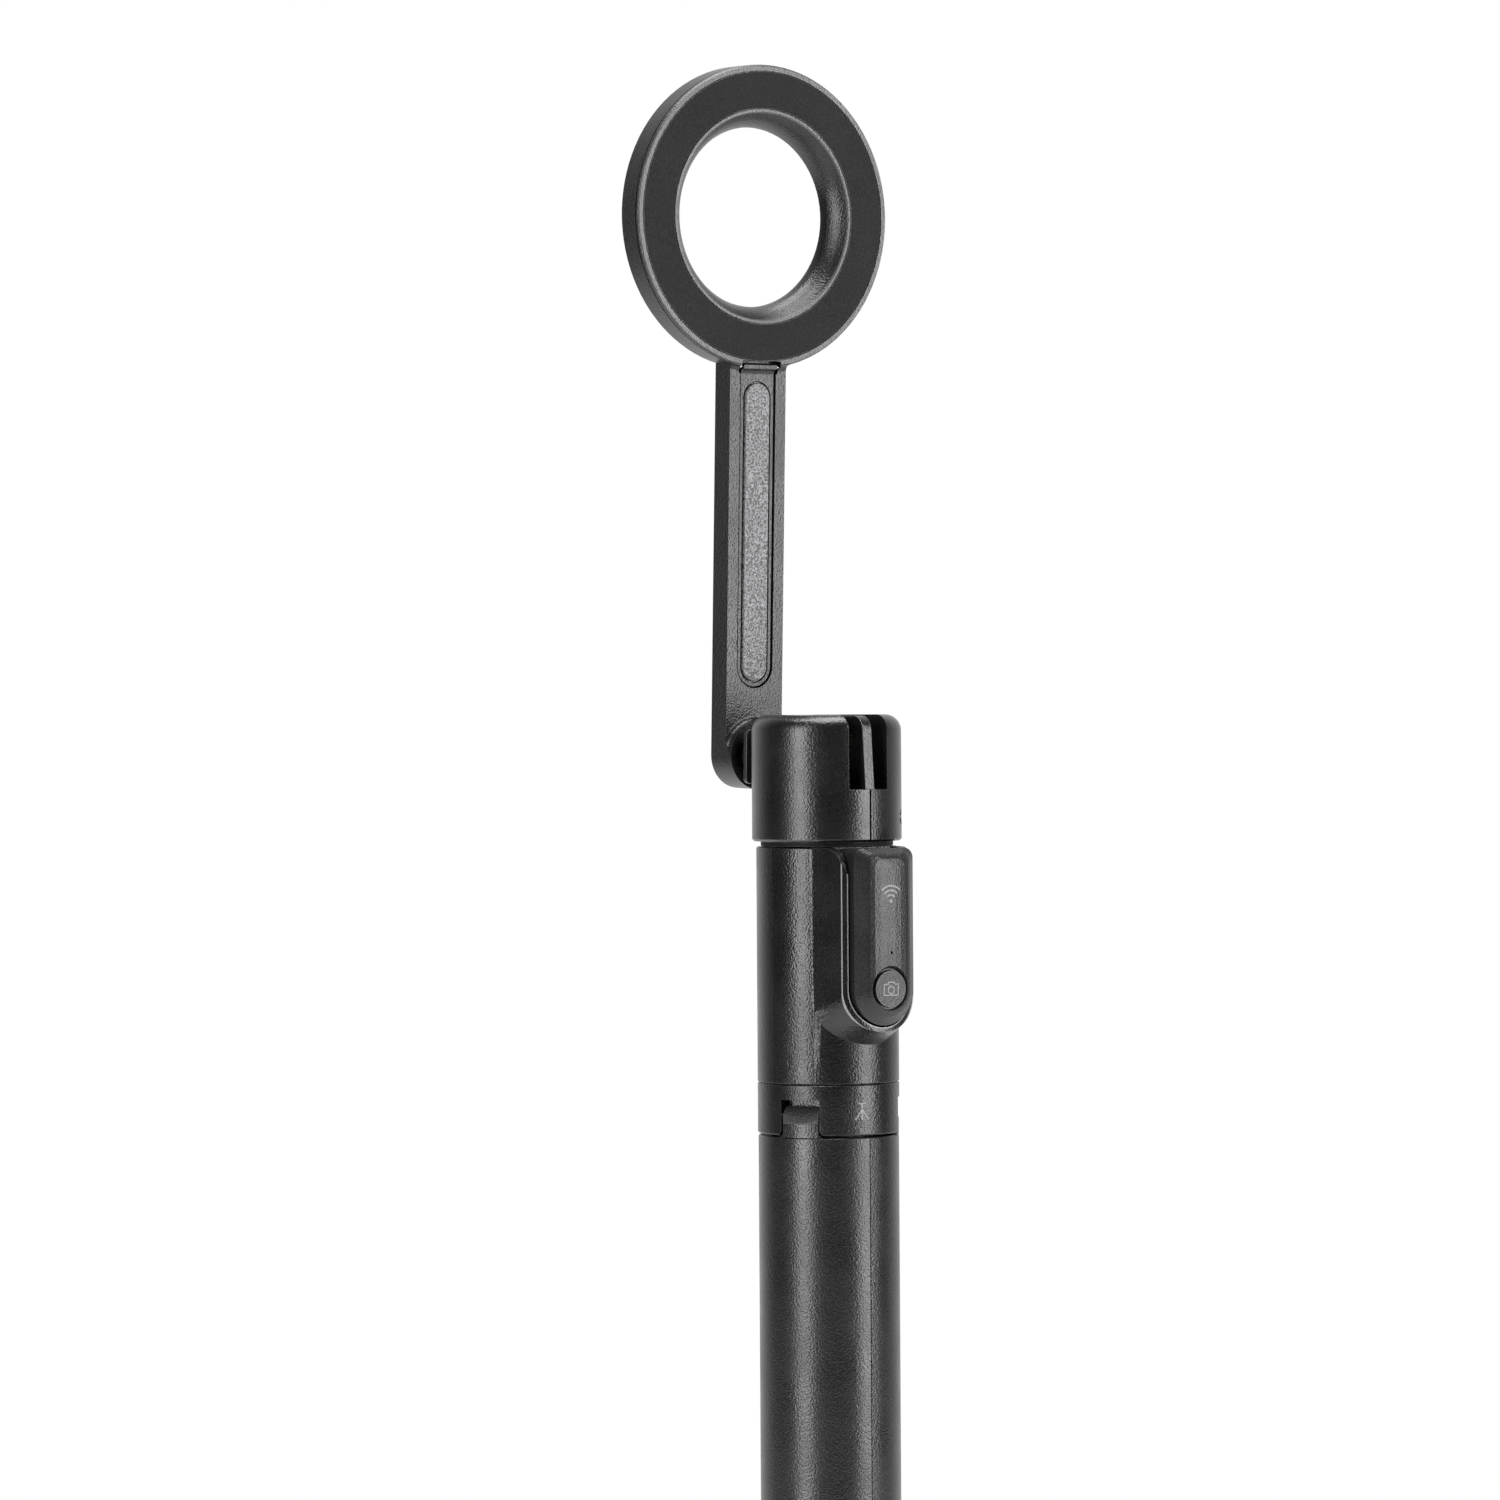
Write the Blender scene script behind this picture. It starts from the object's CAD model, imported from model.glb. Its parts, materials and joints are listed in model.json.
"""Looks of the telescopic selfie stick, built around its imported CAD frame.

Lengths are in metres, except where a comment says millimetres.
"""

import json
import math

import bmesh
import bpy
from mathutils import Matrix, Vector
from mathutils.bvhtree import BVHTree

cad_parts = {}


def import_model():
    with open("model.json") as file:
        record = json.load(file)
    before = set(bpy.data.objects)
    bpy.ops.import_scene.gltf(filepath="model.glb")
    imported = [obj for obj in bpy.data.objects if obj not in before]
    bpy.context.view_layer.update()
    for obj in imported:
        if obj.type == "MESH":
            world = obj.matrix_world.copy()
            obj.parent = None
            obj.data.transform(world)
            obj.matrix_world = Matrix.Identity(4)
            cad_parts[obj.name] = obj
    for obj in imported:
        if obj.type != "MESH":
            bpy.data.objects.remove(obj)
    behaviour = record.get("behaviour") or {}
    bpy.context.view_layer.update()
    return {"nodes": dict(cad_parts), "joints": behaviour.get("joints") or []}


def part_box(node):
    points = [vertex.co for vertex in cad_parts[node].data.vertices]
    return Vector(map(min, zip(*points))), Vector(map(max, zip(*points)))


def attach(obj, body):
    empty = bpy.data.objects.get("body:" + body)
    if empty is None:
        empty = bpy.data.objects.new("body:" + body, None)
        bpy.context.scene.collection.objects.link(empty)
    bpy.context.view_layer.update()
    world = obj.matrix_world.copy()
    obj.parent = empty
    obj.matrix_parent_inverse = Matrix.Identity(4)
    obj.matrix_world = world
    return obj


MM = 0.001

# Where the photo was taken from, in degrees round the pole; 0 is straight in front of the remote
VIEW_AZIMUTH = -35.5

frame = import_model()


# ---------------------------------------------------------------- places taken from the frame

# The arm's own frame: its origin is on the tilt hinge, and it leans as the arm does
joints = {j["name"]: j for j in frame["joints"]}
tilt_point = Vector(joints["head_tilt"]["pos_m"])
roll_axis = Vector(joints["arm_roll"]["axis"])
lean = math.atan2(roll_axis.z, roll_axis.y)
arm_frame = Matrix.Translation(tilt_point) @ Matrix.Rotation(lean, 4, "X")

collar_low, collar_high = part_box("leg_collar")
remote_low, remote_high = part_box("remote_front_shell")
button_low, button_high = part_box("shutter_button")
head_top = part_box("head_shell_left")[1].z

# The slot that the remote lies in: half its width, and the height of the centre of its round foot
slot_r = remote_high.x + 0.35 * MM
slot_foot = remote_low.z + remote_high.x

# Distance from the pole's axis to the cradle's front land, which curves round that axis
land_r = -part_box("barrel_front_shell")[0].y

# Front face and lowest point of the ring's pad, in the arm's own frame
pad_points = [arm_frame.inverted() @ v.co for v in frame["nodes"]["ring_pad"].data.vertices]
pad_front = min(v.y for v in pad_points)
pad_bottom = min(v.z for v in pad_points)


def outward(azimuth):
    """The level direction from the pole towards an azimuth."""
    a = math.radians(azimuth)
    return Vector((math.sin(a), -math.cos(a), 0))


def rightward(azimuth):
    """The level direction to the right, as seen from an azimuth."""
    a = math.radians(azimuth)
    return Vector((math.cos(a), math.sin(a), 0))


# ---------------------------------------------------------------- shader nodes


def fill(node, *values, **named):
    """Sets or links a node's inputs, by position or by name with underscores for spaces."""
    sockets = [(node.inputs[k], value) for k, value in enumerate(values)]
    sockets += [(node.inputs[key.replace("_", " ")], value) for key, value in named.items()]
    for socket, value in sockets:
        if isinstance(value, bpy.types.NodeSocket):
            node.id_data.links.new(value, socket)
        else:
            socket.default_value = value


def add(tree, kind, *values, options=None, **named):
    """Adds a shader node with its options, and fills its inputs."""
    node = tree.nodes.new("ShaderNode" + kind)
    for key, value in (options or {}).items():
        setattr(node, key, value)
    fill(node, *values, **named)
    return node


def calc(tree, operation, *values):
    """The result of a sum, product or comparison."""
    return add(tree, "Math", *values, options={"operation": operation}).outputs["Value"]


def distance(tree, a, b):
    """How far from the origin the point with the two coordinates a and b is."""
    vector = add(tree, "CombineXYZ", a, b, 0.0).outputs["Vector"]
    return add(tree, "VectorMath", vector, options={"operation": "LENGTH"}).outputs["Value"]


def place(tree):
    """The shaded point's place on its piece, which is its place in the CAD frame at rest."""
    return add(tree, "TexCoord").outputs["Object"]


def blend(tree, factor, first, second):
    """A mix of two colours: the first where the factor is 0, the second where it is 1."""
    ends = [end if isinstance(end, bpy.types.NodeSocket) else (*end, 1) for end in (first, second)]
    mix = add(tree, "Mix", options={"data_type": "RGBA"}, Factor=factor, A=ends[0], B=ends[1])
    return mix.outputs["Result"]


def ramp(tree, noise, low, high):
    """Maps the range that a noise mostly has onto low..high."""
    spread = add(tree, "MapRange", Value=noise, From_Min=0.35, From_Max=0.65, To_Min=low, To_Max=high)
    return spread.outputs["Result"]


# ---------------------------------------------------------------- materials

# Size of the grain on the outer shells, and on everything else
FINE_GRAIN = 0.37 * MM
COARSE_GRAIN = 0.40 * MM

# Slow drifts in a moulded surface's gloss: how many to the metre, and how far the roughness goes each way
DRIFT_SCALE = 90.0
DRIFT_DEPTH = 0.04

# Scales that stretch a noise into lines along the pole, and into lines round it
ALONG = (9000, 9000, 60)
ROUND = (900, 900, 9000)

# The ring's bright lips: their base colour, and the depths behind the pad's face where they fade out
LIP_TONE = 0.05
LIP_FADE = (0.22 * MM, 0.27 * MM)

# The cradle's worn edges: their base colour, the distances from the slot where the inner one ends and
# the outer one starts, and how deep behind the land they reach
RIM_TONE = 0.22
RIM_INNER = 0.22 * MM
RIM_OUTER = 1.08 * MM
RIM_DEPTH = 0.06 * MM


def new_material(name):
    """A new material, and its Principled shader."""
    mat = bpy.data.materials.new(name)
    mat.use_nodes = True
    return mat, mat.node_tree.nodes["Principled BSDF"]


def moulded(name, dark, light, rough, relief, grain=FINE_GRAIN, specular=0.5):
    """A speckled, grained surface with slow drifts of gloss. Its bumps are relief times the grain high."""
    mat, shader = new_material(name)
    tree = mat.node_tree
    point = place(tree)
    fine = add(tree, "TexNoise", Vector=point, Scale=1 / grain, Detail=0.0).outputs["Fac"]
    slow = add(tree, "TexNoise", Vector=point, Scale=DRIFT_SCALE, Detail=4.0, Roughness=0.55).outputs["Fac"]
    colour = blend(tree, ramp(tree, fine, 0.0, 1.0), dark, light)
    gloss = ramp(tree, slow, rough - DRIFT_DEPTH, rough + DRIFT_DEPTH)
    bump = add(tree, "Bump", Strength=1.0, Distance=grain * relief, Height=fine).outputs["Normal"]
    fill(shader, Base_Color=colour, Roughness=gloss, Normal=bump, Specular_IOR_Level=specular)
    return mat


def drawn_metal(name, colour, rough, stretch=ROUND):
    """Metal with fine lines: round the axis on a turned part, or along the pole on a tube."""
    mat, shader = new_material(name)
    tree = mat.node_tree
    stretched = add(tree, "Mapping", Vector=place(tree), Scale=stretch).outputs["Vector"]
    lines = add(tree, "TexNoise", Vector=stretched, Scale=1.0, Detail=3.0, Roughness=0.7).outputs["Fac"]
    darker = [c * 0.86 for c in colour]
    tint = blend(tree, ramp(tree, lines, 0.0, 1.0), darker, colour)
    gloss = ramp(tree, lines, rough - 0.06, rough + 0.08)
    bump = add(tree, "Bump", Strength=0.12, Distance=0.02 * MM, Height=lines).outputs["Normal"]
    fill(shader, Base_Color=tint, Roughness=gloss, Normal=bump, Metallic=1.0)
    return mat


def brighten(mat, mask, colour):
    """Puts a colour over the material's base colour where the mask is 1."""
    shader = mat.node_tree.nodes["Principled BSDF"]
    plain = shader.inputs["Base Color"].links[0].from_socket
    fill(shader, Base_Color=blend(mat.node_tree, mask, plain, colour))


def with_bright_lips(mat):
    """Brightens the ring's bezel and inner lip: the part of the casting in front of the pad's seat."""
    tree = mat.node_tree
    local = add(tree, "Mapping", options={"vector_type": "TEXTURE"}, Vector=place(tree),
                Location=tilt_point, Rotation=(lean, 0, 0))
    parts = add(tree, "SeparateXYZ", local.outputs["Vector"]).outputs
    front = add(tree, "MapRange", Value=parts["Y"], From_Min=pad_front + LIP_FADE[0],
                From_Max=pad_front + LIP_FADE[1], To_Min=1.0, To_Max=0.0)
    above_arm = calc(tree, "GREATER_THAN", parts["Z"], 0.5 * pad_bottom)
    brighten(mat, calc(tree, "MULTIPLY", front.outputs["Result"], above_arm), grey(LIP_TONE))


def with_bright_rim(mat):
    """Brightens the two worn edges of the cradle's front land, beside the slot and at its outer side."""
    tree = mat.node_tree
    x, y, z = add(tree, "SeparateXYZ", place(tree)).outputs
    below_foot = calc(tree, "MINIMUM", calc(tree, "SUBTRACT", z, slot_foot), 0.0)
    from_slot = distance(tree, x, below_foot)
    inner = calc(tree, "LESS_THAN", from_slot, slot_r + RIM_INNER)
    outer = calc(tree, "GREATER_THAN", from_slot, slot_r + RIM_OUTER)
    land = calc(tree, "GREATER_THAN", distance(tree, x, y), land_r - RIM_DEPTH)
    brighten(mat, calc(tree, "MULTIPLY", calc(tree, "MAXIMUM", inner, outer), land), grey(RIM_TONE))


def grey(value):
    """A very slightly blue grey."""
    return (value, value, value * 1.04)


SATIN = {"dark": grey(0.001), "light": grey(0.004), "rough": 0.31, "relief": 0.17}
PAINTED = {"dark": grey(0.004), "light": grey(0.009), "rough": 0.32, "relief": 0.17, "specular": 0.45}

MATERIALS = {
    "satin": moulded("satin_plastic", **SATIN),
    "cradle": moulded("cradle_plastic", **SATIN),
    "arm": moulded("arm_metal", **PAINTED),
    "casting": moulded("ring_casting", **PAINTED),
    "remote": moulded("remote_plastic", grey(0.008), grey(0.014), rough=0.35, relief=0.15, specular=0.40),
    "head": moulded("head_plastic", grey(0.003), grey(0.007), rough=0.30, relief=0.13),
    "leg": moulded("leg_metal", grey(0.004), grey(0.009), rough=0.31, relief=0.14),
    "edge": moulded("worn_edge", grey(0.05), grey(0.09), rough=0.30, relief=0.10, grain=COARSE_GRAIN),
    "pad": moulded("pad_rubber", grey(0.012), grey(0.018), rough=0.75, relief=0.10, grain=COARSE_GRAIN,
                   specular=0.15),
    "foot": moulded("foot_rubber", grey(0.012), grey(0.02), rough=0.7, relief=0.25, grain=COARSE_GRAIN,
                    specular=0.3),
    "insert": moulded("insert_rubber", grey(0.03), grey(0.20), rough=0.40, relief=0.30, grain=COARSE_GRAIN),
    "inner": moulded("inner_plastic", grey(0.010), grey(0.016), rough=0.45, relief=0.2, grain=COARSE_GRAIN),
    "shadow": moulded("matte_black", grey(0.0015), grey(0.003), rough=0.65, relief=0.15, grain=COARSE_GRAIN,
                      specular=0.25),
    "print": moulded("printed_ink", grey(0.16), grey(0.22), rough=0.5, relief=0.2, grain=COARSE_GRAIN),
    "board": moulded("circuit_board", (0.02, 0.11, 0.05), (0.03, 0.16, 0.08), rough=0.35, relief=0.2,
                     grain=COARSE_GRAIN),
    "light": moulded("light_pipe", grey(0.02), grey(0.03), rough=0.2, relief=0.1, grain=COARSE_GRAIN),
    "tube": drawn_metal("tube_metal", (0.60, 0.61, 0.63), rough=0.28, stretch=ALONG),
    "foil": drawn_metal("battery_foil", (0.66, 0.67, 0.69), rough=0.35, stretch=ALONG),
    "steel": drawn_metal("turned_steel", (0.62, 0.63, 0.65), rough=0.24),
    "bolt": drawn_metal("blackened_steel", (0.055, 0.055, 0.06), rough=0.30),
    "magnet": drawn_metal("nickel_plate", (0.66, 0.65, 0.62), rough=0.2),
    "brass": drawn_metal("washer_brass", (0.46, 0.37, 0.22), rough=0.35),
}

with_bright_lips(MATERIALS["casting"])
with_bright_rim(MATERIALS["cradle"])


# ---------------------------------------------------------------- the CAD nodes' looks


def each_leg(piece):
    """The three legs' nodes for a piece."""
    return [f"leg_{leg}_{piece}" for leg in "abc"]


NODE_MATERIALS = {
    "satin": ["barrel_rear_shell", "leg_collar"],
    "cradle": ["barrel_front_shell"],
    "remote": ["remote_front_shell", "shutter_button"],
    "head": ["head_shell_left", "head_shell_right", "hinge_center_plate"],
    "leg": each_leg("shell"),
    "arm": ["flap", "yoke"],
    "casting": ["arm_frame"],
    "pad": ["ring_pad"],
    "foot": each_leg("foot"),
    "insert": ["flap_pad"],
    "inner": ["guide_sleeve", *each_leg("knuckle"), "base_plug", "tact_switch",
              *[f"bush_{k}" for k in range(2, 7)], *[f"mouth_{k}" for k in range(1, 6)]],
    "shadow": ["swivel_post", "remote_back_shell"],
    "tube": [f"tube_{k}" for k in range(1, 7)],
    "steel": ["barrel_dowels", "barrel_top_ring", "leg_pins", "flap_pin"],
    "bolt": ["tilt_bolt", "tilt_nut", "head_screws", "roll_bolt"],
    "magnet": ["cradle_magnets", "ring_magnets", "ring_back_plate"],
    "brass": ["friction_washers", "roll_washer"],
    "board": ["remote_pcb"],
    "foil": ["remote_battery"],
    "light": ["led_pipe"],
}

# Width of the rounded edges, in millimetres; the nodes that aren't listed keep their sharp edges
EDGE = {
    "barrel_front_shell": 0.20, "barrel_rear_shell": 0.05, "barrel_top_ring": 0.08, "leg_collar": 0.10,
    "head_shell_left": 0.12, "head_shell_right": 0.12, "hinge_center_plate": 0.12, "swivel_post": 0.08,
    "remote_back_shell": 0.08, "shutter_button": 0.12, "arm_frame": 0.10, "yoke": 0.15,
    "flap": 0.08, "flap_pad": 0.15, "ring_pad": 0.06, "base_plug": 0.3,
    **dict.fromkeys(each_leg("shell"), 0.05),
    **dict.fromkeys(each_leg("knuckle"), 0.1),
    **dict.fromkeys(each_leg("foot"), 0.4),
}

# Nodes whose faces are meant to flow into each other, apart from their sharpest edges
CROWNED = ["remote_front_shell"]


def clean(obj):
    """Gives a node the worn material as its second, and joins its doubled points and flat neighbours."""
    obj.data.materials.append(MATERIALS["edge"])
    weld = obj.modifiers.new("weld", "WELD")
    weld.merge_threshold = 0.004 * MM
    flat = obj.modifiers.new("flat", "DECIMATE")
    flat.decimate_type = "DISSOLVE"
    flat.angle_limit = math.radians(0.6)


def split_edges(obj):
    """Shades a crowned node smoothly between its sharp edges."""
    split = obj.modifiers.new("edges", "EDGE_SPLIT")
    split.split_angle = math.radians(30)


def round_edges(obj, width):
    """Rounds a node's sharp edges in the worn look, and keeps its faces evenly shaded."""
    bevel = obj.modifiers.new("edges", "BEVEL")
    bevel.width = width * MM
    bevel.segments = 3
    bevel.limit_method = "ANGLE"
    bevel.angle_limit = math.radians(35)
    bevel.use_clamp_overlap = True
    bevel.material = 1
    normals = obj.modifiers.new("normals", "WEIGHTED_NORMAL")
    normals.mode = "FACE_AREA"
    normals.weight = 50


def dress(node, mat):
    """Gives a CAD node its material, and its edges their look, with modifiers only."""
    node.data.materials.clear()
    node.data.materials.append(mat)
    if node.name in CROWNED:
        clean(node)
        split_edges(node)
    elif node.name in EDGE:
        clean(node)
        round_edges(node, EDGE[node.name])


for kind, names in NODE_MATERIALS.items():
    for name in names:
        dress(frame["nodes"][name], MATERIALS[kind])


# ---------------------------------------------------------------- printed marks

# How far the ink stands proud of the surface, how thick it is, and how far out the search for it starts
INK_PROUD = 0.008 * MM
INK_DEPTH = 0.02 * MM
SEARCH_FROM = 40 * MM


def around(cx, cz, r, start, end, steps):
    """Points of an arc, in millimetres, from start to end degrees."""
    angles = [math.radians(start + (end - start) * k / steps) for k in range(steps + 1)]
    return [(cx + r * math.cos(t), cz + r * math.sin(t)) for t in angles]


def divided(line, step=0.25):
    """The line, in millimetres, with extra points, so that it can follow a curved surface."""
    points = [line[0]]
    for (x0, z0), (x1, z1) in zip(line, line[1:]):
        count = max(1, round(math.hypot(x1 - x0, z1 - z0) / step))
        points += [(x0 + (x1 - x0) * k / count, z0 + (z1 - z0) * k / count) for k in range(1, count + 1)]
    return points


def add_stroke(mesh, line, width, lay, out):
    """Adds a ribbon along a line to the mesh; lay gives the place on the surface of a point of the line.

    The line and the width are in millimetres.
    """
    points = [Vector(p) for p in divided(line)]
    sides = []
    for k, p in enumerate(points):
        along = (points[min(k + 1, len(points) - 1)] - points[max(k - 1, 0)]).normalized()
        across = Vector((-along.y, along.x)) * width / 2
        sides.append([mesh.verts.new(lay(*(p + across))), mesh.verts.new(lay(*(p - across)))])
    for (a0, b0), (a1, b1) in zip(sides, sides[1:]):
        face = mesh.faces.new((a0, b0, b1, a1))
        face.normal_update()
        if face.normal.dot(out) < 0:
            face.normal_flip()


def printed(name, target, body, lines, width, centre, azimuth):
    """Thin printed strokes that lie on a node's surface, seen from the azimuth.

    The lines and their width are in millimetres.
    """
    out = outward(azimuth)
    right = rightward(azimuth)
    skin = frame["nodes"][target].data
    surface = BVHTree.FromPolygons([v.co for v in skin.vertices], [p.vertices for p in skin.polygons])

    def lay(x, z):
        start = centre + right * x * MM + Vector((0, 0, z * MM)) + out * SEARCH_FROM
        return surface.ray_cast(start, -out)[0] + out * INK_PROUD

    mesh = bmesh.new()
    for line in lines:
        add_stroke(mesh, line, width, lay, out)
    data = bpy.data.meshes.new(name)
    mesh.to_mesh(data)
    mesh.free()
    data.materials.append(MATERIALS["print"])
    obj = bpy.data.objects.new(name, data)
    bpy.context.scene.collection.objects.link(obj)
    ink = obj.modifiers.new("ink", "SOLIDIFY")
    ink.thickness = INK_DEPTH
    ink.offset = -1
    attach(obj, body)


def camera_mark():
    """A camera pictogram on the shutter button."""
    middle = (button_low + button_high) / 2
    case = [(-0.55, 0.9), (-0.85, 0.9), (-1.7, 0.9), (-1.7, -1.2), (1.7, -1.2), (1.7, 0.9), (0.9, 0.9),
            (0.55, 1.35), (-0.55, 1.35), (-0.9, 0.9)]
    lens = around(0, -0.2, 0.72, 0, 360, 20)
    printed("button_mark", "shutter_button", "button", [case, lens], 0.24, middle, 0)


def signal_mark():
    """Three arcs over a dot, high on the remote."""
    middle = Vector((0, remote_low.y, remote_high.z - 9 * MM))
    arcs = [around(0, -1.3, r, 45, 135, 10) for r in (1.2, 2.1, 3.0)]
    dot = around(0, -1.3, 0.22, 0, 360, 10)
    printed("remote_mark", "remote_front_shell", "remote", [*arcs, dot], 0.36, middle, 0)


def tripod_mark():
    """A small tripod pictogram on the collar, to the right of the photo's view."""
    middle = Vector((0, 0, (collar_low.z + collar_high.z) / 2 - 0.3 * MM))
    top, hub = (0, 1.6), (0, 0.4)
    legs = [[hub, (-1.5, -1.6)], [hub, (1.5, -1.6)], [hub, (0, -1.6)]]
    bar = [(-0.8, 1.6), (0.8, 1.6)]
    printed("collar_mark", "leg_collar", "hub", [[top, hub], *legs, bar], 0.3, middle, VIEW_AZIMUTH + 28)


camera_mark()
signal_mark()
tripod_mark()


# ---------------------------------------------------------------- studio

# The two side lights: their distance from the pole, the height of their middle, and their length
LIGHT_AWAY = 1.0
LIGHT_Z = 0.35
LIGHT_LENGTH = 1.3

# How bright the room is to the object, in front of it and behind it, as seen from the photo's side
DIM = 0.03
WHITE = 1.0


def round_the_pole(azimuth, away, height):
    """A place at an azimuth round the pole; 0 is straight in front of the remote."""
    return outward(azimuth) * away + Vector((0, 0, height))


def floor():
    """A pale round floor under the feet."""
    bpy.ops.mesh.primitive_circle_add(vertices=128, radius=0.95, fill_type="NGON", location=(0, 0, 0))
    disc = bpy.context.object
    disc.name = "studio_floor"
    mat, shader = new_material("pale_floor")
    fill(shader, Base_Color=(0.86, 0.86, 0.86, 1), Roughness=0.6, Emission_Color=(1, 1, 1, 1),
         Emission_Strength=0.25)
    disc.data.materials.append(mat)


def soft_box(name, spot, aim, width, height, power, spread=110):
    """A rectangular area light at a spot, facing a point."""
    light = bpy.data.lights.new(name, "AREA")
    light.shape = "RECTANGLE"
    light.size, light.size_y = width, height
    light.energy = power
    light.spread = math.radians(spread)
    obj = bpy.data.objects.new(name, light)
    bpy.context.scene.collection.objects.link(obj)
    obj.location = spot
    obj.rotation_euler = (Vector(aim) - obj.location).to_track_quat("-Z", "Y").to_euler()


def side_light(name, azimuth, width, power):
    """A tall soft box beside the pole, at an azimuth from the camera's."""
    spot = round_the_pole(VIEW_AZIMUTH + azimuth, LIGHT_AWAY, LIGHT_Z)
    soft_box(name, spot, (0, 0, LIGHT_Z), width, LIGHT_LENGTH, power)


def world():
    """White to the camera; to the object, a dim room that is white only behind it."""
    sky = bpy.data.worlds.new("studio")
    bpy.context.scene.world = sky
    sky.use_nodes = True
    tree = sky.node_tree
    direction = add(tree, "TexCoord").outputs["Generated"]
    behind = add(tree, "VectorMath", direction, -outward(VIEW_AZIMUTH), options={"operation": "DOT_PRODUCT"})
    room = add(tree, "MapRange", options={"interpolation_type": "SMOOTHSTEP"}, Value=behind.outputs["Value"],
               From_Min=0.1, From_Max=0.85, To_Min=DIM, To_Max=WHITE)
    seen = add(tree, "LightPath").outputs["Is Camera Ray"]
    strength = calc(tree, "MAXIMUM", room.outputs["Result"], seen)
    fill(tree.nodes["Background"], Color=(1, 1, 1, 1), Strength=strength)


def camera():
    """A long lens just above the tilt head, looking slightly down, with the photo's small roll."""
    away = 1.26
    height = head_top + 3 * MM
    down = math.radians(0.45)
    roll = math.radians(-0.37)
    aside = rightward(VIEW_AZIMUTH) * -15.1 * MM
    data = bpy.data.cameras.new("camera")
    data.sensor_width = 36
    data.lens = 152.9
    data.clip_start, data.clip_end = 0.05, 50
    cam = bpy.data.objects.new("camera", data)
    bpy.context.scene.collection.objects.link(cam)
    cam.location = round_the_pole(VIEW_AZIMUTH, away, height)
    aim = aside + Vector((0, 0, height - away * math.tan(down)))
    turn = (aim - cam.location).to_track_quat("-Z", "Y").to_matrix().to_4x4()
    cam.matrix_world = Matrix.Translation(cam.location) @ turn @ Matrix.Rotation(roll, 4, "Z")
    bpy.context.scene.camera = cam


floor()
world()
camera()
side_light("left_box", azimuth=-42, width=0.36, power=5.6)
side_light("right_box", azimuth=64, width=0.42, power=6.4)
soft_box("top_box", spot=(0, 0, 1.25), aim=(0, 0, 0), width=0.8, height=0.8, power=14, spread=150)
bpy.context.scene.view_settings.view_transform = "Standard"
